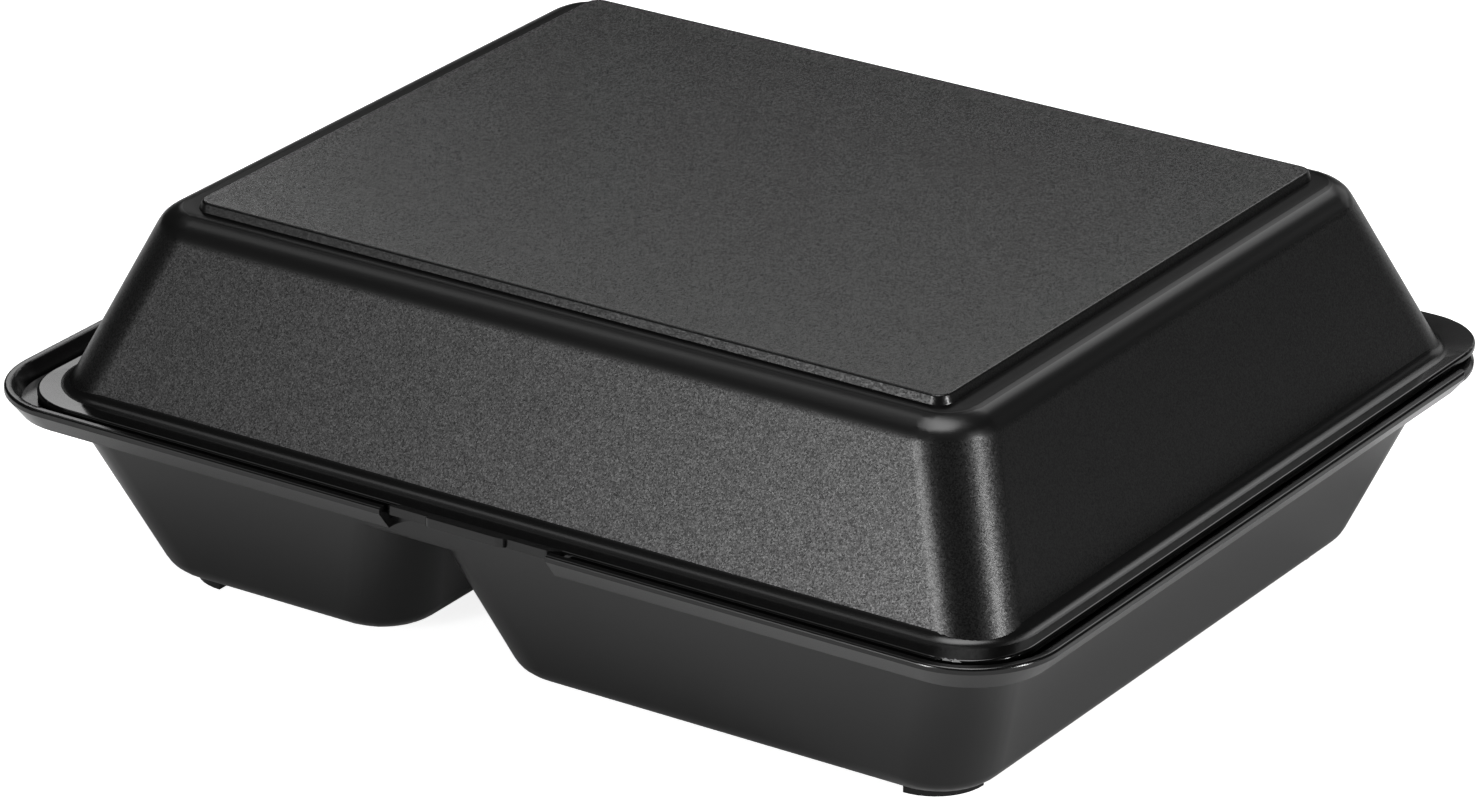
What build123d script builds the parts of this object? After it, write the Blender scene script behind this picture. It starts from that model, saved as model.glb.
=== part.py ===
from build123d import *
import os
from math import cos, radians, tan

# Reusable hinged burger box: a two-compartment tray, a domed lid and the living hinge between them.
# Millimetres, +Z up. Origin: centre of the footprint, on the surface that the feet stand on.
# The opening tab faces -Y, the hinge is at +Y, the smaller compartment is at -X.

# Moulding
wall = 1.8
flange_thick = 1.8
edge_round = 0.6

# Rim of the tray, measured over its lip
rim_length = 240.0
rim_depth = 200.5
rim_corner = 18.8
rim_back_corner = 22.0
lip_flare = 3.0
lip_rise = 3.4
lip_edge = 1.3
lip_end_y = 70.5
lip_end_round = 1.6

# Tray body
foot_height = 2.0
tray_depth = 36.8
tub_side_ledge = 7.3
tub_front_ledge = 7.45
tub_draft = 21.0
tub_corner = 15.2
bowl_floor_round = 7.0

# Channel that parts the two compartments from below
channel_x = -21.95
channel_height = 29.0
channel_gap = 3.0
channel_draft = 19.3
channel_mouth_round = 4.0
small_bowl_corner = 14.8
large_bowl_corner = 14.1

# Corner feet, which also stack round the panel of a box below
foot_inset = 4.0
foot_width = 2.4
foot_leg = 11.0
foot_corner = 11.0

# Lid
parting_gap = 0.2
lid_clearance = 2.8
lid_flange_corner = 14.7
lid_side_ledge = 4.4
lid_front_ledge = 5.95
lid_side_draft = 22.8
lid_front_draft = 21.0
lid_corner = 13.3
lid_rise = 36.4
lid_shoulder = 7.2
lid_foot_round = 1.2
panel_side_ledge = 7.6
panel_front_ledge = 5.9
panel_corner = 3.5
panel_rise = 1.8
panel_taper = 20.0

# Opening tab and the finger gap below it
tab_width = 37.6
tab_lift = 2.2
tab_corner = 1.0
tongue_width = 18.0
tongue_reach = 1.6
tongue_corner = 1.4
tab_clearance = 0.4
finger_gap_corner = 5.0
finger_gap_margin = 1.2

# Living hinge strips
hinge_reach = 3.25
hinge_thick = 0.5
hinge_width = 62.0
hinge_spacing = 104.0

# Levels
floor_z = foot_height
flange_z = floor_z + tray_depth
seat_z = flange_z + flange_thick
lip_z = seat_z + lip_rise
ceiling_z = floor_z + channel_height
bowl_top_z = ceiling_z + channel_mouth_round
lid_z = seat_z + parting_gap
lid_flange_z = lid_z + flange_thick
lid_top_z = lid_flange_z + lid_rise

# Outlines of the rim
front_y = -rim_depth / 2
back_y = rim_depth / 2 - hinge_reach
flange_half = rim_length / 2 - lip_flare
flange_front = front_y + lip_flare
lid_half = flange_half - lid_clearance
lid_front = flange_front + lid_clearance

# Slopes, as level run for each millimetre of height
tub_slope = tan(radians(tub_draft))
channel_slope = tan(radians(channel_draft))
lid_side_slope = tan(radians(lid_side_draft))
lid_front_slope = tan(radians(lid_front_draft))
lip_slope = lip_flare / (lip_z - lip_edge - flange_z)

# Walls of the tray where they meet its flange, walls of the lid where they meet its own, and the panel
tub_length = 2 * (flange_half - tub_side_ledge)
tub_depth = -2 * (flange_front + tub_front_ledge)
lid_length = 2 * (lid_half - lid_side_ledge)
lid_depth = -2 * (lid_front + lid_front_ledge)
panel_length = lid_length - 2 * (lid_rise * lid_side_slope + panel_side_ledge)
panel_depth = lid_depth - 2 * (lid_rise * lid_front_slope + panel_front_ledge)


def level_run(thick, angle):
    """The thickness of a leaning wall, measured level."""
    return thick / cos(radians(angle))


def leaning_block(wide_z, narrow_z, sides, drafts, left_corner, right_corner):
    """A block with leaning walls and rounded corners. Sides and drafts go left, right, front, back."""
    left, right, front, back = sides
    lean = 1 if narrow_z > wide_z else -1
    with BuildPart() as block:
        with BuildSketch(Plane.XY.offset(wide_z)):
            with Locations(((left + right) / 2, (front + back) / 2)):
                Rectangle(right - left, back - front)
        extrude(amount=narrow_z - wide_z)
        for angle, axis, end in zip(drafts, (Axis.X, Axis.X, Axis.Y, Axis.Y), (0, -1, 0, -1)):
            draft(block.faces().sort_by(axis)[end], Plane.XY.offset(wide_z), lean * angle)
        fillet(block.edges().filter_by(Plane.XY, reverse=True).sort_by(Axis.X)[:2], left_corner)
        fillet(block.edges().filter_by(Plane.XY, reverse=True).sort_by(Axis.X)[-2:], right_corner)
    return block.part


def tub_sides(z, inner):
    """The four walls of the tray's body at height z, drawn in by a wall of thickness inner."""
    run = (flange_z - z) * tub_slope + level_run(inner, tub_draft)
    return run - tub_length / 2, tub_length / 2 - run, run - tub_depth / 2, tub_depth / 2 - run


def tub(high_z, low_z, inner=0):
    """The part of the tray's body above the channel, rounded where it bridges the channel's mouths."""
    corner = tub_corner - inner
    with BuildPart() as body:
        add(leaning_block(high_z, low_z, tub_sides(high_z, inner), [tub_draft] * 4, corner, corner))
        fillet(body.faces().sort_by(Axis.Z)[0].edges(), channel_mouth_round - inner)
    return body.part


def channel_run(inner):
    """The distance from the channel's middle to its walls at the top of the compartments."""
    return channel_gap / 2 - channel_mouth_round * channel_slope + level_run(inner, channel_draft)


def small_bowl(low_z, inner=0):
    """The compartment to the left of the channel."""
    left, _, front, back = tub_sides(bowl_top_z, inner)
    return leaning_block(bowl_top_z, low_z, (left, channel_x - channel_run(inner), front, back),
                         (tub_draft, channel_draft, tub_draft, tub_draft),
                         tub_corner - inner, small_bowl_corner - inner)


def large_bowl(low_z, inner=0):
    """The compartment to the right of the channel."""
    _, right, front, back = tub_sides(bowl_top_z, inner)
    return leaning_block(bowl_top_z, low_z, (channel_x + channel_run(inner), right, front, back),
                         (channel_draft, tub_draft, tub_draft, tub_draft),
                         large_bowl_corner - inner, tub_corner - inner)


def lid_body(low_z, high_z, inner=0):
    """The lid's walls, drawn in by a wall of thickness inner."""
    rise = low_z - lid_flange_z
    half_x = lid_length / 2 - rise * lid_side_slope - level_run(inner, lid_side_draft)
    half_y = lid_depth / 2 - rise * lid_front_slope - level_run(inner, lid_front_draft)
    return leaning_block(low_z, high_z, (-half_x, half_x, -half_y, half_y),
                         (lid_side_draft, lid_side_draft, lid_front_draft, lid_front_draft),
                         lid_corner - inner, lid_corner - inner)


def flange(z, grow=0.0):
    """The outline of the tray's flange at height z, grown as its lip flares."""
    with BuildSketch(Plane.XY.offset(z)) as face:
        with Locations((0, (flange_front + back_y) / 2)):
            Rectangle(2 * (flange_half + grow), back_y - flange_front + 2 * grow)
        fillet(face.vertices().sort_by(Axis.Y)[:2], rim_corner - lip_flare + grow)
        fillet(face.vertices().sort_by(Axis.Y)[-2:], rim_back_corner + grow)
    return face.sketch


# Compartments, outside
with BuildPart() as compartments:
    add(small_bowl(floor_z))
    add(large_bowl(floor_z))
    fillet(compartments.faces().group_by(Axis.Z)[0].edges(), bowl_floor_round)
    add(tub(flange_z, ceiling_z))

# Compartments, inside
with BuildPart() as hollows:
    add(small_bowl(floor_z + wall, wall))
    add(large_bowl(floor_z + wall, wall))
    fillet(hollows.faces().group_by(Axis.Z)[0].edges(), bowl_floor_round - wall)
    add(tub(seat_z, ceiling_z + wall, wall))

# Flared lip round the front and sides of the rim
with BuildPart() as lip:
    loft([flange(flange_z), flange(lip_z - lip_edge, lip_flare)], ruled=True)
    extrude(flange(lip_z - lip_edge, lip_flare), amount=lip_edge)
    inner_grow = (seat_z - flange_z) * lip_slope - wall
    loft([flange(seat_z, inner_grow), flange(lip_z, lip_flare - wall)], ruled=True, mode=Mode.SUBTRACT)
    fillet(lip.faces().sort_by(Axis.Z)[-1].edges(), edge_round)
    with BuildSketch(Plane.XY.offset(flange_z)):
        with Locations((0, lip_end_y)):
            Rectangle(2 * rim_length, rim_depth, align=(Align.CENTER, Align.MIN))
            with GridLocations(rim_length - 2 * lip_end_round, 0, 2, 1):
                Circle(lip_end_round, mode=Mode.SUBTRACT)
    extrude(amount=lip_z, mode=Mode.SUBTRACT)

# Flange, broken at its outer edges where the lip leaves it bare
with BuildPart() as rim:
    extrude(flange(flange_z), amount=flange_thick)
    chamfer(rim.edges().filter_by(Plane.XY), edge_round)

# Corner feet
with BuildPart() as feet:
    foot_left, foot_right, foot_front, foot_back = tub_sides(floor_z, foot_inset * cos(radians(tub_draft)))
    foot_length = foot_right - foot_left
    foot_depth = foot_back - foot_front
    with BuildSketch():
        RectangleRounded(foot_length, foot_depth, foot_corner)
        offset(amount=-foot_width, mode=Mode.SUBTRACT)
        with GridLocations(foot_length - foot_leg, foot_depth - foot_leg, 2, 2):
            Rectangle(foot_leg, foot_leg, mode=Mode.INTERSECT)
    extrude(amount=foot_height + wall / 2)

# Finger gap through the rim below the opening tab
with BuildPart() as finger_gap:
    gap_width = tab_width + 2 * tab_clearance
    gap_back = -tub_depth / 2 - finger_gap_margin
    with BuildSketch(Plane.XY.offset(flange_z)) as gap_plan:
        with Locations((0, gap_back)):
            Rectangle(gap_width, rim_depth, align=(Align.CENTER, Align.MAX))
        fillet(gap_plan.vertices().group_by(Axis.Y)[-1], finger_gap_corner)
    extrude(amount=lip_z - flange_z)

with BuildPart() as tray:
    add(compartments.part)
    add(rim.part)
    add(lip.part)
    add(hollows.part, mode=Mode.SUBTRACT)
    add(finger_gap.part, mode=Mode.SUBTRACT)
    add(feet.part)

# Lid, outside
with BuildPart() as dome:
    add(lid_body(lid_flange_z, lid_top_z))
    fillet(dome.faces().sort_by(Axis.Z)[-1].edges(), lid_shoulder)
    with BuildSketch(Plane.XY.offset(lid_z)) as lid_plan:
        with Locations((0, (lid_front + back_y) / 2)):
            RectangleRounded(2 * lid_half, back_y - lid_front, lid_flange_corner)
    extrude(amount=flange_thick)
    outer_edges = dome.faces().filter_by(Axis.Z).group_by(Axis.Z)[1][0].outer_wire().edges()
    fillet(outer_edges, edge_round)
    chamfer(dome.faces().sort_by(Axis.Z)[0].edges(), edge_round)
    flange_face = dome.faces().filter_by(Axis.Z).group_by(Axis.Z)[1][0]
    fillet(flange_face.inner_wires().edges(), lid_foot_round)
    with BuildSketch(Plane.XY.offset(lid_top_z)):
        RectangleRounded(panel_length, panel_depth, panel_corner)
    extrude(amount=panel_rise, taper=panel_taper)
    fillet(dome.faces().sort_by(Axis.Z)[-1].edges(), edge_round)

# Lid, inside
with BuildPart() as lid_hollow:
    add(lid_body(lid_z, lid_top_z - wall, wall))
    fillet(lid_hollow.faces().sort_by(Axis.Z)[-1].edges(), lid_shoulder - wall)
    with BuildSketch(Plane.XY.offset(lid_top_z - wall)):
        RectangleRounded(panel_length - 2 * wall, panel_depth - 2 * wall, panel_corner)
    extrude(amount=panel_rise, taper=panel_taper)

# Opening tab, rising from the lid's flange to the lip's line
with BuildPart() as tab:
    root_y = -lid_depth / 2
    with BuildSketch(Plane.YZ):
        with BuildLine():
            Polyline((root_y, lid_z), (lid_front, lid_z), (front_y, lid_z + tab_lift),
                     (front_y, lid_flange_z + tab_lift), (lid_front, lid_flange_z), (root_y, lid_flange_z),
                     close=True)
        make_face()
    extrude(amount=tab_width / 2, both=True)
    with BuildSketch(Plane.XY.offset(lid_z)) as tab_plan:
        with Locations((0, root_y)):
            Rectangle(tab_width, root_y - front_y - tongue_reach, align=(Align.CENTER, Align.MAX))
            Rectangle(tongue_width, root_y - front_y, align=(Align.CENTER, Align.MAX))
        fillet(tab_plan.vertices().group_by(Axis.Y)[0], tongue_corner)
        ends = tab_plan.vertices().group_by(Axis.X)
        fillet(ends[0].sort_by(Axis.Y)[:1] + ends[-1].sort_by(Axis.Y)[:1], tab_corner)
    extrude(amount=lip_rise + tab_lift, mode=Mode.INTERSECT)

with BuildPart() as lid:
    add(dome.part)
    add(tab.part)
    add(lid_hollow.part, mode=Mode.SUBTRACT)

# Living hinge: each strip leaves the tray's flange, turns over in a half circle and enters the lid's flange
with BuildPart() as hinge_strips:
    lower_z = flange_z + flange_thick / 2
    upper_z = lid_z + flange_thick / 2
    middle_z = (lower_z + upper_z) / 2
    outer_fold = (upper_z - lower_z + hinge_thick) / 2
    inner_fold = outer_fold - hinge_thick
    fold_y = back_y + hinge_reach - outer_fold
    for side in (-1, 1):
        with BuildSketch(Plane.YZ.offset(side * hinge_spacing / 2)):
            with BuildLine():
                Line((back_y, middle_z - outer_fold), (fold_y, middle_z - outer_fold))
                ThreePointArc((fold_y, middle_z - outer_fold), (fold_y + outer_fold, middle_z),
                              (fold_y, middle_z + outer_fold))
                Polyline((fold_y, middle_z + outer_fold), (back_y, middle_z + outer_fold),
                         (back_y, middle_z + inner_fold), (fold_y, middle_z + inner_fold))
                ThreePointArc((fold_y, middle_z + inner_fold), (fold_y + inner_fold, middle_z),
                              (fold_y, middle_z - inner_fold))
                Polyline((fold_y, middle_z - inner_fold), (back_y, middle_z - inner_fold),
                         (back_y, middle_z - outer_fold))
            make_face()
        extrude(amount=hinge_width / 2, both=True)

tray.part.label = "tray"
lid.part.label = "lid"
hinge_strips.part.label = "hinge_strips"

os.makedirs("parts", exist_ok=True)
export_step(tray.part, "parts/tray.step")
export_step(lid.part, "parts/lid.step")
export_step(hinge_strips.part, "parts/hinge_strips.step")
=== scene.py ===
import math

import bmesh
import bpy
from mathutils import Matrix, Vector


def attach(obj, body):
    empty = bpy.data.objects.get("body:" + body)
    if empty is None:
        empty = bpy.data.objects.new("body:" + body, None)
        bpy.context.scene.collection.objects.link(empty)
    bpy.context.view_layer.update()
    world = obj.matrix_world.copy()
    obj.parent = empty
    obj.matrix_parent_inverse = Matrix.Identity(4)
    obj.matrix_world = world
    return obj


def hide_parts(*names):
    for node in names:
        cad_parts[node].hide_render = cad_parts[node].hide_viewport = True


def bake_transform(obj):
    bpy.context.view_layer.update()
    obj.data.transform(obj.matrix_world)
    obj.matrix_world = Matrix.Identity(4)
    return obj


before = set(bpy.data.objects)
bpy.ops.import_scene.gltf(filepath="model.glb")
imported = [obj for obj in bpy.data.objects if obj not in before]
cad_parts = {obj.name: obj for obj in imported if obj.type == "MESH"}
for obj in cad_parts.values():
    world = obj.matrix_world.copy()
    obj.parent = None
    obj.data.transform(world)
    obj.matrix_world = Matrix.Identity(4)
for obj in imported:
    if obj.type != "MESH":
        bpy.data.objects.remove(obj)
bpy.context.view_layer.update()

mm = 0.001


# camera and studio

cameraSettings = {
    "azimuth": 33.69,         # degrees to the right of the front
    "elevation": 23.29,
    "distance": 1486.1 * mm,
    "target": (0.0, 0.0, 42.83 * mm),  # where the distance is measured from
    "aim": (-1.50 * mm, -4.46 * mm, 36.14 * mm),  # what lies at the middle of the picture
    "lens": 182.85,
    "sensor": 36.0,
    "reach": 50.0,            # how far the camera sees
}

studioSettings = {
    "floorSize": 6.0,
    "floorColour": (0.68, 0.68, 0.68, 1.0),
    "floorGlow": 0.86,        # white that the floor adds where the box stands
    "farGlow": 1.0,           # white that it adds further out
    "glowFrom": 0.38,         # radius at which the one begins to turn into the other
    "glowTo": 0.60,           # radius at which it has done so
    "glossShare": 0.05,       # how much of that white the box reflects
    "worldColour": (0.025, 0.025, 0.025, 1.0),
}

# softboxes, in metres and watts; a spread narrows the beam to so many degrees
openSpread = 180
softboxes = {
    "keyWide": {"place": (-0.72, -1.42, 0.33), "faces": (-0.05, 0.0, 0.06),
                "size": (0.95, 0.70), "watts": 2.55},
    "keyBright": {"place": (-0.34, -1.45, 0.30), "faces": (0.0, 0.0, 0.06),
                  "size": (0.28, 0.55), "watts": 19.5},
    "stripRight": {"place": (1.50, -0.05, 0.42), "faces": (0.0, 0.0, 0.06),
                   "size": (0.22, 0.60), "watts": 28.0},
    "backLeft": {"place": (-0.60, 1.20, 0.99), "faces": (0.0, 0.0, 0.06),
                 "size": (1.00, 0.62), "watts": 2.4},
    "flangeLeft": {"place": (-1.11, 0.99, 0.69), "faces": (-0.11, -0.08, 0.04),
                   "size": (0.26, 0.24), "watts": 0.45},
    "shoulderLine": {"place": (-0.86, 0.06, 1.42), "faces": (0.0, -0.05, 0.08),
                     "size": (0.46, 0.52), "watts": 1.0},
    "shoulderRight": {"place": (-0.03, 1.15, 1.02), "faces": (0.05, 0.0, 0.08),
                      "size": (0.50, 0.44), "watts": 1.6},
    "fillBack": {"place": (0.25, 1.50, 0.45), "faces": (0.0, 0.0, 0.06),
                 "size": (0.90, 0.45), "watts": 1.2},
    "overhead": {"place": (0.04, -0.30, 1.72), "faces": (0.0, 0.0, 0.0),
                 "size": (1.10, 1.10), "watts": 9.0, "spread": 100},
}


def lookAt(thing, place, point):
    thing.location = place
    thing.rotation_euler = (Vector(point) - Vector(place)).to_track_quat("-Z", "Y").to_euler()


def addCamera(settings):
    azimuth = math.radians(settings["azimuth"])
    elevation = math.radians(settings["elevation"])
    away = Vector((math.cos(elevation) * math.sin(azimuth),
                   -math.cos(elevation) * math.cos(azimuth),
                   math.sin(elevation)))
    lens = bpy.data.cameras.new("boxCamera")
    lens.lens = settings["lens"]
    lens.sensor_width = settings["sensor"]
    lens.clip_end = settings["reach"]
    camera = bpy.data.objects.new("boxCamera", lens)
    bpy.context.scene.collection.objects.link(camera)
    lookAt(camera, Vector(settings["target"]) + away * settings["distance"], settings["aim"])
    bpy.context.scene.camera = camera


def addSoftboxes(boxes):
    for name, box in boxes.items():
        light = bpy.data.lights.new(name, "AREA")
        light.shape = "RECTANGLE"
        light.size, light.size_y = box["size"]
        light.energy = box["watts"]
        light.spread = math.radians(box.get("spread", openSpread))
        lamp = bpy.data.objects.new(name, light)
        bpy.context.scene.collection.objects.link(lamp)
        lookAt(lamp, box["place"], box["faces"])


def newMaterial(name):
    material = bpy.data.materials.new(name)
    material.use_nodes = True
    material.node_tree.nodes.clear()
    return material, material.node_tree.nodes, material.node_tree.links


def floorMaterial(settings):
    material, nodes, links = newMaterial("studioFloor")
    output = nodes.new("ShaderNodeOutputMaterial")
    paper = nodes.new("ShaderNodeBsdfDiffuse")
    paper.inputs["Color"].default_value = settings["floorColour"]
    place = nodes.new("ShaderNodeTexCoord")
    radius = nodes.new("ShaderNodeVectorMath")
    radius.operation = "LENGTH"
    fade = nodes.new("ShaderNodeMapRange")
    fade.interpolation_type = "SMOOTHSTEP"
    fade.inputs["From Min"].default_value = settings["glowFrom"]
    fade.inputs["From Max"].default_value = settings["glowTo"]
    fade.inputs["To Min"].default_value = settings["floorGlow"]
    fade.inputs["To Max"].default_value = settings["farGlow"]
    rays = nodes.new("ShaderNodeLightPath")
    mirrored = nodes.new("ShaderNodeMath")
    mirrored.operation = "MULTIPLY"
    mirrored.inputs[1].default_value = settings["glossShare"]
    seen = nodes.new("ShaderNodeMath")
    seen.operation = "MAXIMUM"
    strength = nodes.new("ShaderNodeMath")
    strength.operation = "MULTIPLY"
    glow = nodes.new("ShaderNodeEmission")
    both = nodes.new("ShaderNodeAddShader")
    links.new(place.outputs["Object"], radius.inputs[0])
    links.new(radius.outputs["Value"], fade.inputs["Value"])
    links.new(rays.outputs["Is Camera Ray"], seen.inputs[0])
    links.new(rays.outputs["Is Glossy Ray"], mirrored.inputs[0])
    links.new(mirrored.outputs[0], seen.inputs[1])
    links.new(fade.outputs["Result"], strength.inputs[0])
    links.new(seen.outputs[0], strength.inputs[1])
    links.new(strength.outputs[0], glow.inputs["Strength"])
    links.new(paper.outputs[0], both.inputs[0])
    links.new(glow.outputs[0], both.inputs[1])
    links.new(both.outputs[0], output.inputs["Surface"])
    return material


def addFloor(settings):
    half = settings["floorSize"] / 2
    corners = [(-half, -half, 0), (half, -half, 0), (half, half, 0), (-half, half, 0)]
    mesh = bpy.data.meshes.new("studioFloor")
    mesh.from_pydata(corners, [], [(0, 1, 2, 3)])
    floor = bpy.data.objects.new("studioFloor", mesh)
    bpy.context.scene.collection.objects.link(floor)
    mesh.materials.append(floorMaterial(settings))


def setWorld(settings):
    world = bpy.data.worlds.new("studio")
    world.use_nodes = True
    world.node_tree.nodes["Background"].inputs["Color"].default_value = settings["worldColour"]
    world.node_tree.nodes["Background"].inputs["Strength"].default_value = 1.0
    bpy.context.scene.world = world


# finishes of the black plastic; a few are darker copies that hold painted shade

refraction = 1.49
finishes = {
    "sparked": {"grey": 0.0016, "roughness": 0.33, "level": 0.31},
    "shoulder": {"grey": 0.0016, "roughness": 0.30, "level": 0.37},
    # the next two are the shoulder finish with its shine turned down: painted shade on the lid's ledge and
    # its brink
    "paintedShadeBrink": {"grey": 0.0016, "roughness": 0.30, "level": 0.17},
    "paintedShadeLedge": {"grey": 0.0016, "roughness": 0.30, "level": 0.06},
    "panelGrain": {"grey": 0.0016, "roughness": 0.26, "level": 0.45},
    # the next finish is the panel's grain with its shine halved: painted shade on the side of the panel's
    # step
    "panelEdgePaintedShade": {"grey": 0.0016, "roughness": 0.30, "level": 0.24},
    "gloss": {"grey": 0.0016, "roughness": 0.14, "level": 0.38},
    "footRound": {"grey": 0.0016, "roughness": 0.24, "level": 0.36},
    "lipGloss": {"grey": 0.0016, "roughness": 0.20, "level": 0.40},
    "satin": {"grey": 0.0055, "roughness": 0.30, "level": 0.30},
}

# grain of the sparked mould: width of a facet, how far it tilts, how much its shine differs from the next
grains = {
    "sparked": {"facet": 0.25 * mm, "tilt": 0.085, "sparkle": 0.58},
    "panelGrain": {"facet": 0.27 * mm, "tilt": 0.10, "sparkle": 0.30},
    "panelEdgePaintedShade": {"facet": 0.27 * mm, "tilt": 0.10, "sparkle": 0.30},
}
midColour = (0.5, 0.5, 0.5)


def addGrain(nodes, links, shader, level, grain):
    place = nodes.new("ShaderNodeTexCoord")
    facets = nodes.new("ShaderNodeTexVoronoi")
    facets.inputs["Scale"].default_value = 1.0 / grain["facet"]
    centred = nodes.new("ShaderNodeVectorMath")
    centred.operation = "SUBTRACT"
    centred.inputs[1].default_value = midColour
    tilted = nodes.new("ShaderNodeVectorMath")
    tilted.operation = "SCALE"
    tilted.inputs["Scale"].default_value = grain["tilt"]
    surface = nodes.new("ShaderNodeNewGeometry")
    leaned = nodes.new("ShaderNodeVectorMath")
    leaned.operation = "ADD"
    unit = nodes.new("ShaderNodeVectorMath")
    unit.operation = "NORMALIZE"
    shares = nodes.new("ShaderNodeSeparateColor")
    shine = nodes.new("ShaderNodeMapRange")
    shine.inputs["To Min"].default_value = level * (1 - grain["sparkle"])
    shine.inputs["To Max"].default_value = level * (1 + grain["sparkle"])
    links.new(place.outputs["Object"], facets.inputs["Vector"])
    links.new(facets.outputs["Color"], centred.inputs[0])
    links.new(centred.outputs[0], tilted.inputs[0])
    links.new(surface.outputs["Normal"], leaned.inputs[0])
    links.new(tilted.outputs[0], leaned.inputs[1])
    links.new(leaned.outputs[0], unit.inputs[0])
    links.new(facets.outputs["Color"], shares.inputs["Color"])
    links.new(shares.outputs["Blue"], shine.inputs["Value"])
    links.new(unit.outputs[0], shader.inputs["Normal"])
    links.new(shine.outputs["Result"], shader.inputs["Specular IOR Level"])


def plasticMaterial(name):
    finish = finishes[name]
    grey = finish["grey"]
    material, nodes, links = newMaterial(name)
    output = nodes.new("ShaderNodeOutputMaterial")
    shader = nodes.new("ShaderNodeBsdfPrincipled")
    shader.inputs["Base Color"].default_value = (grey, grey, grey, 1.0)
    shader.inputs["Roughness"].default_value = finish["roughness"]
    shader.inputs["IOR"].default_value = refraction
    shader.inputs["Specular IOR Level"].default_value = finish["level"]
    if name in grains:
        addGrain(nodes, links, shader, finish["level"], grains[name])
    links.new(shader.outputs[0], output.inputs["Surface"])
    return material


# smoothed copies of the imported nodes

copySettings = {
    "weldGap": 0.002 * mm,    # points nearer than this become one
    "sharpAngle": 28,         # degrees from which an edge stays sharp
    "flatWeight": 60,         # how far large faces rule the shading
}


def smoothCopy(node, name):
    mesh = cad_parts[node].data.copy()
    mesh.name = name
    if "custom_normal" in mesh.attributes:
        mesh.attributes.remove(mesh.attributes["custom_normal"])
    work = bmesh.new()
    work.from_mesh(mesh)
    bmesh.ops.remove_doubles(work, verts=work.verts, dist=copySettings["weldGap"])
    work.to_mesh(mesh)
    work.free()
    mesh.materials.clear()
    piece = bpy.data.objects.new(name, mesh)
    bpy.context.scene.collection.objects.link(piece)
    mesh.shade_smooth()
    mesh.set_sharp_from_angle(angle=math.radians(copySettings["sharpAngle"]))
    weigh = piece.modifiers.new("weigh", "WEIGHTED_NORMAL")
    weigh.keep_sharp = True
    weigh.weight = copySettings["flatWeight"]
    return piece


def paintFaces(piece, finishOf):
    names = []
    for polygon in piece.data.polygons:
        name = finishOf(polygon.center, polygon.normal)
        if name not in names:
            names.append(name)
            piece.data.materials.append(materials[name])
        polygon.material_index = names.index(name)


addCamera(cameraSettings)
addSoftboxes(softboxes)
addFloor(studioSettings)
setWorld(studioSettings)
bpy.context.scene.view_settings.view_transform = "Standard"
materials = {name: plasticMaterial(name) for name in finishes}
print("studio set")


# tray

traySettings = {
    "rimFrom": 38.75 * mm,    # above this the tray is glossy
}


def trayFinish(centre, normal):
    return "lipGloss" if centre.z > traySettings["rimFrom"] else "satin"


trayPiece = smoothCopy("tray", "trayShell")
paintFaces(trayPiece, trayFinish)
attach(trayPiece, "base")
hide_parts("tray")
print("tray made")


# lid

lidSettings = {
    "flangeTo": 43.0 * mm,    # below this the lid is glossy
    "tabFrom": -90.0 * mm,    # further to the front than this lies its opening tab
    "panelFrom": 80.75 * mm,  # above this lies the panel's face
    "edgeFrom": 79.05 * mm,   # above this lies the panel's edge
    # faces past these two turns get the darker copies, painted shade
    "ledgeTurn": 0.99,        # faces that look up more than this belong to the ledge
    "brinkTurn": 0.96,        # more than this to its brink
    "shoulderTurn": 0.52,     # and more than this to the shoulder
}


def lidFinish(centre, normal):
    if centre.y < lidSettings["tabFrom"] and centre.z > lidSettings["flangeTo"]:
        return "lipGloss"
    if centre.z < lidSettings["flangeTo"]:
        return "gloss"
    if centre.z > lidSettings["panelFrom"]:
        return "panelGrain"
    # the side of the panel's step gets a darker copy of the panel's grain: painted shade
    if centre.z > lidSettings["edgeFrom"]:
        return "panelEdgePaintedShade"
    # up-facing faces of the ledge and its brink get darker copies of the shoulder finish: painted shade
    if normal.z > lidSettings["ledgeTurn"]:
        return "paintedShadeLedge"
    if normal.z > lidSettings["brinkTurn"]:
        return "paintedShadeBrink"
    if normal.z > lidSettings["shoulderTurn"]:
        return "shoulder"
    return "sparked"


lidPiece = smoothCopy("lid", "lidShell")
paintFaces(lidPiece, lidFinish)
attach(lidPiece, "cover")
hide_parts("lid")
print("lid made")


# hollow round of the lid's foot, from its wall to its flange

roundSettings = {
    "radius": 3.2 * mm,
    "lean": 21.9,             # degrees by which the wall leans
    "steps": 12,
    "sink": 0.06 * mm,        # how far the ends dip into the plastic
    "root": 0.7 * mm,         # how far the back of the section lies in the plastic
    "sharpAngle": 40,         # degrees from which an edge stays sharp
}
roundPath = {                 # the line where the lid's wall meets its flange
    "Length": 219.6 * mm,
    "Depth": 177.0 * mm,
    "Corner": 13.3 * mm,
    "Corner Steps": 14,
    "Level": 42.6 * mm,
}


def roundSection(settings):
    lean = math.radians(settings["lean"])
    radius = settings["radius"]
    centre = radius / math.tan((math.pi / 2 + lean) / 2)  # how far out the arc leaves the flange
    points = []
    for step in range(settings["steps"] + 1):
        turn = (math.pi / 2 - lean) * step / settings["steps"]
        points.append((centre - radius * math.sin(turn), radius - radius * math.cos(turn)))
    points[0] = (points[0][0], points[0][1] - settings["sink"])
    points[-1] = (points[-1][0] - settings["sink"], points[-1][1])
    points.append((-settings["root"], -settings["root"]))
    return points[::-1]


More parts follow.
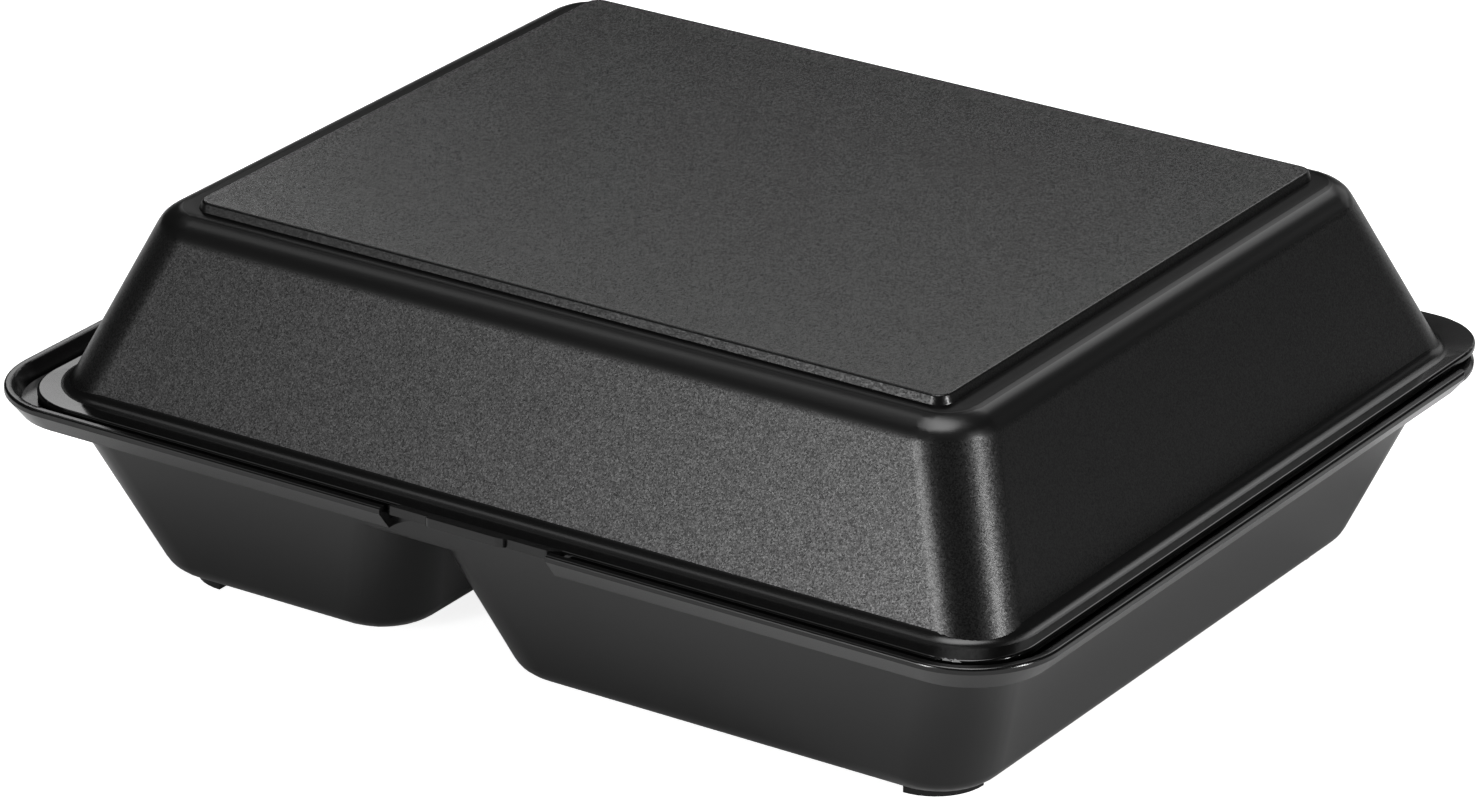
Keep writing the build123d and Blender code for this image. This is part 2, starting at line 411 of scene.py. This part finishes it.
def sweepNodes(name, material, path):
    tree = bpy.data.node_groups.new(name, "GeometryNodeTree")
    tree.interface.new_socket("Geometry", in_out="INPUT", socket_type="NodeSocketGeometry")
    identifiers = {}
    for key, value in path.items():
        kind = "NodeSocketInt" if isinstance(value, int) else "NodeSocketFloat"
        identifiers[key] = tree.interface.new_socket(key, in_out="INPUT", socket_type=kind).identifier
    tree.interface.new_socket("Geometry", in_out="OUTPUT", socket_type="NodeSocketGeometry")
    nodes, links = tree.nodes, tree.links
    given = nodes.new("NodeGroupInput")
    section = nodes.new("GeometryNodeMeshToCurve")
    outline = nodes.new("GeometryNodeCurvePrimitiveQuadrilateral")
    rounded = nodes.new("GeometryNodeFilletCurve")
    rounded.mode = "POLY"
    height = nodes.new("ShaderNodeCombineXYZ")
    raised = nodes.new("GeometryNodeTransform")
    upright = nodes.new("GeometryNodeSetCurveNormal")
    upright.mode = "Z_UP"
    sweep = nodes.new("GeometryNodeCurveToMesh")
    whole = nodes.new("GeometryNodeRealizeInstances")
    paint = nodes.new("GeometryNodeSetMaterial")
    paint.inputs["Material"].default_value = material
    result = nodes.new("NodeGroupOutput")
    links.new(given.outputs["Geometry"], section.inputs["Mesh"])
    links.new(given.outputs["Length"], outline.inputs["Width"])
    links.new(given.outputs["Depth"], outline.inputs["Height"])
    links.new(outline.outputs[0], rounded.inputs["Curve"])
    links.new(given.outputs["Corner"], rounded.inputs["Radius"])
    links.new(given.outputs["Corner Steps"], rounded.inputs["Count"])
    links.new(given.outputs["Level"], height.inputs["Z"])
    links.new(rounded.outputs[0], raised.inputs["Geometry"])
    links.new(height.outputs[0], raised.inputs["Translation"])
    links.new(raised.outputs[0], upright.inputs["Curve"])
    links.new(upright.outputs[0], sweep.inputs["Curve"])
    links.new(section.outputs[0], sweep.inputs["Profile Curve"])
    links.new(sweep.outputs[0], whole.inputs["Geometry"])
    links.new(whole.outputs[0], paint.inputs["Geometry"])
    links.new(paint.outputs[0], result.inputs[0])
    return tree, identifiers


def sweepSection(name, points, material, path, sharpAngle):
    count = len(points)
    edges = [(index, (index + 1) % count) for index in range(count)]
    section = bpy.data.meshes.new(name)
    section.from_pydata([(across, -up, 0.0) for across, up in points], edges, [])  # swept with y downwards
    piece = bpy.data.objects.new(name, section)
    bpy.context.scene.collection.objects.link(piece)
    tree, identifiers = sweepNodes(name, material, path)
    grow = piece.modifiers.new("grow", "NODES")
    grow.node_group = tree
    for key, value in path.items():
        grow[identifiers[key]] = value
    bpy.context.view_layer.update()
    swept = bpy.data.meshes.new_from_object(piece.evaluated_get(bpy.context.evaluated_depsgraph_get()))
    piece.modifiers.remove(grow)
    piece.data = swept
    swept.shade_smooth()
    swept.set_sharp_from_angle(angle=math.radians(sharpAngle))
    return piece


roundPiece = sweepSection("footRound", roundSection(roundSettings), materials["footRound"], roundPath,
                          roundSettings["sharpAngle"])
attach(roundPiece, "cover")
print("foot round made")


# living hinge


def hingeFinish(centre, normal):
    return "satin"


hingePiece = smoothCopy("hinge_strips", "hingeStrips")
paintFaces(hingePiece, hingeFinish)
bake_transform(hingePiece)
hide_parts("hinge_strips")
print("hinge made")
